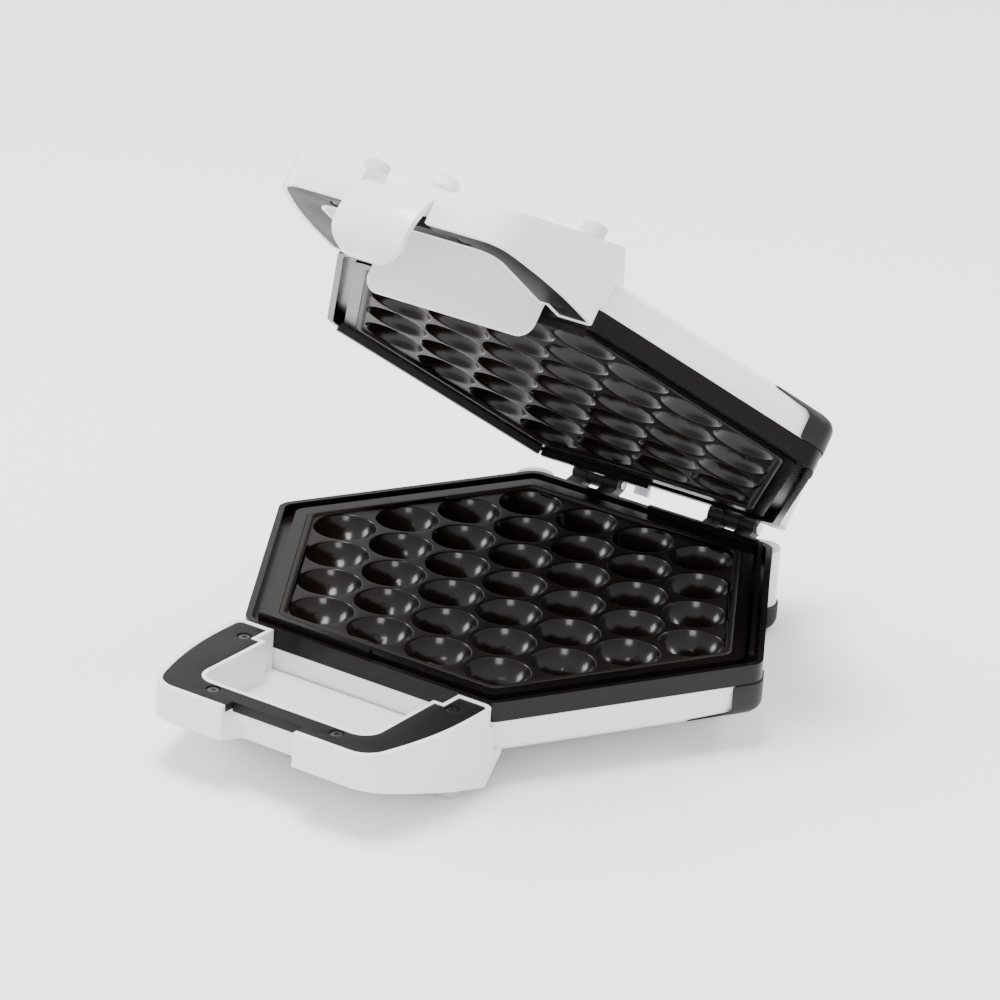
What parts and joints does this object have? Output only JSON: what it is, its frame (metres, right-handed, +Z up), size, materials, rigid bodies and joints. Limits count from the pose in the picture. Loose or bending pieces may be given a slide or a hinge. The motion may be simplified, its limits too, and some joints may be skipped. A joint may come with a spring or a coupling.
{
  "type": "bubble waffle maker",
  "caption": "Turn-over bubble waffle maker: two hinged hexagonal halves with dimpled black plates, white shells, finger-well handles and a front clip; lid open.",
  "frame": {"origin": "on the table, at the middle of the footprint of the appliance with its lid at rest", "axes": "+Z up, +Y from the handles towards the hinges, +X to the right when facing the handles"},
  "size_m": [0.2416, 0.309, 0.2379],
  "materials": {
    "white_plastic": "satin moulded thermoplastic",
    "clear_white_plastic": "glossy moulded thermoplastic",
    "black_gloss_plastic": "glossy heat resistant resin",
    "black_satin_plastic": "fine texture, satin",
    "coated_cast": "die-cast alloy with a glossy dark non-stick coating",
    "heater_sheath": "oxidised steel sheath",
    "spring_steel": "bright",
    "zinc_steel": "zinc plated",
    "bright_sheet": "bright rolled sheet",
    "black_steel": "satin black",
    "phenolic": "dull moulded phenolic",
    "fuse_metal": "bright",
    "terminal_plastic": "dull",
    "wire_silicone": "soft silicone",
    "black_rubber": "dull",
    "grey_rubber": "dull",
    "grey_plastic": "satin",
    "lens_plastic": "clouded, glossy",
    "lamp_glass": "clear"
  },
  "bodies": {
    "base": {"base_shell": "white_plastic", "base_bezel": "black_gloss_plastic", "base_grip_plate": "black_satin_plastic", "base_grip_screws": "black_steel", "base_plate": "coated_cast", "base_heater": "heater_sheath", "base_heater_clips": "spring_steel", "base_reflector": "bright_sheet", "base_thermostat": "phenolic", "base_thermal_fuse": "fuse_metal", "base_terminal_block": "terminal_plastic", "base_wiring": "wire_silicone", "base_plate_screws": "zinc_steel", "base_shell_screws": "zinc_steel", "cord_gland": "black_rubber", "base_front_feet": "grey_rubber", "base_rear_feet": "black_rubber", "base_corner_bumpers": "black_satin_plastic", "base_hinge_brackets": "black_steel", "hinge_pins": "zinc_steel"},
    "lid": {"lid_shell": "white_plastic", "lid_bezel": "black_gloss_plastic", "lid_grip_plate": "black_satin_plastic", "lid_grip_screws": "black_steel", "lid_plate": "coated_cast", "lid_heater": "heater_sheath", "lid_heater_clips": "spring_steel", "lid_reflector": "bright_sheet", "lid_thermostat": "phenolic", "lid_wiring": "wire_silicone", "lid_plate_screws": "zinc_steel", "lid_shell_screws": "zinc_steel", "lid_front_feet": "grey_rubber", "lid_rear_feet": "black_rubber", "lid_corner_bumpers": "black_satin_plastic", "lid_hinge_leaves": "black_steel", "wire_sleeves": "grey_plastic", "heat_guard": "white_plastic", "indicator_lens": "lens_plastic", "indicator_lamp": "lamp_glass", "clip_pin": "zinc_steel"},
    "clip": {"clip": "clear_white_plastic"}
  },
  "joints": [
    {"name": "lid_hinge", "type": "hinge", "parent": "base", "child": "lid", "pos_m": [0, 0.13803, 0.037], "axis": [-1, 0, 0], "range_deg": [-40.3, 60]},
    {"name": "clip_hinge", "type": "hinge", "parent": "lid", "child": "clip", "pos_m": [0, -0.07693, 0.22927], "axis": [-1, 0, 0], "range_deg": [-10, 35]}
  ]
}
